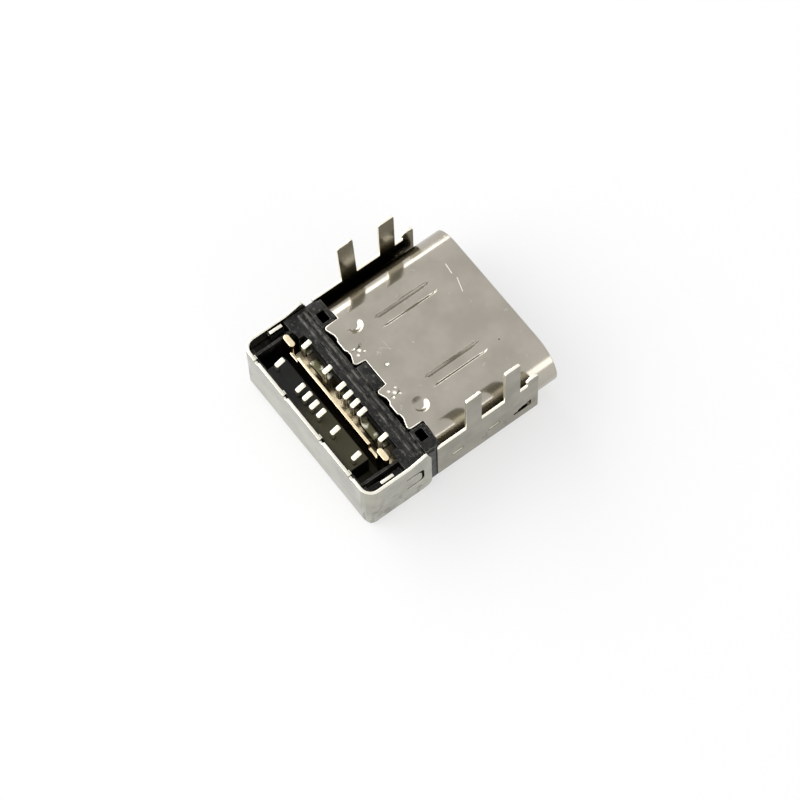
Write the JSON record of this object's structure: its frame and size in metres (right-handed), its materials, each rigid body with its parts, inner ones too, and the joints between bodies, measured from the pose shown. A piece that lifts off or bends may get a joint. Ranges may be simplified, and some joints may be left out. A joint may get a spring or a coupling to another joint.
{
  "type": "usb-c socket",
  "caption": "Board-mounted reversible plug socket with a stadium-shaped steel mouth, board legs, a rear cover and two rows of solder tails.",
  "frame": {"origin": "centre of the bounding box's bottom, on the underside of the rear cover", "axes": "-Y out of the mouth towards the plug, +Z towards the board that it is soldered to, +X completes the right-handed frame"},
  "size_m": [0.0092, 0.0104, 0.0057],
  "materials": {
    "shell_steel": "satin nickel plate, sheared edges bright",
    "housing_plastic": "moulded, slightly glossy where worn",
    "insert_plastic": "moulded, matt",
    "plate_alloy": "pale plated copper alloy",
    "ground_steel": "nickel plate",
    "contact_alloy": "tinned tails, gilt at the tongue"
  },
  "bodies": {
    "root": {"inner_shell": "shell_steel", "outer_shell": "shell_steel", "rear_cover": "shell_steel", "housing": "housing_plastic", "upper_insert": "insert_plastic", "lower_insert": "insert_plastic", "mid_plate": "plate_alloy", "upper_ground_plate": "ground_steel", "lower_ground_plate": "ground_steel", "contact_a1": "contact_alloy", "contact_a4": "contact_alloy", "contact_a5": "contact_alloy", "contact_a6": "contact_alloy", "contact_a7": "contact_alloy", "contact_a9": "contact_alloy", "contact_a12": "contact_alloy", "contact_b1": "contact_alloy", "contact_b4": "contact_alloy", "contact_b5": "contact_alloy", "contact_b6": "contact_alloy", "contact_b7": "contact_alloy", "contact_b9": "contact_alloy", "contact_b12": "contact_alloy"}
  },
  "joints": []
}
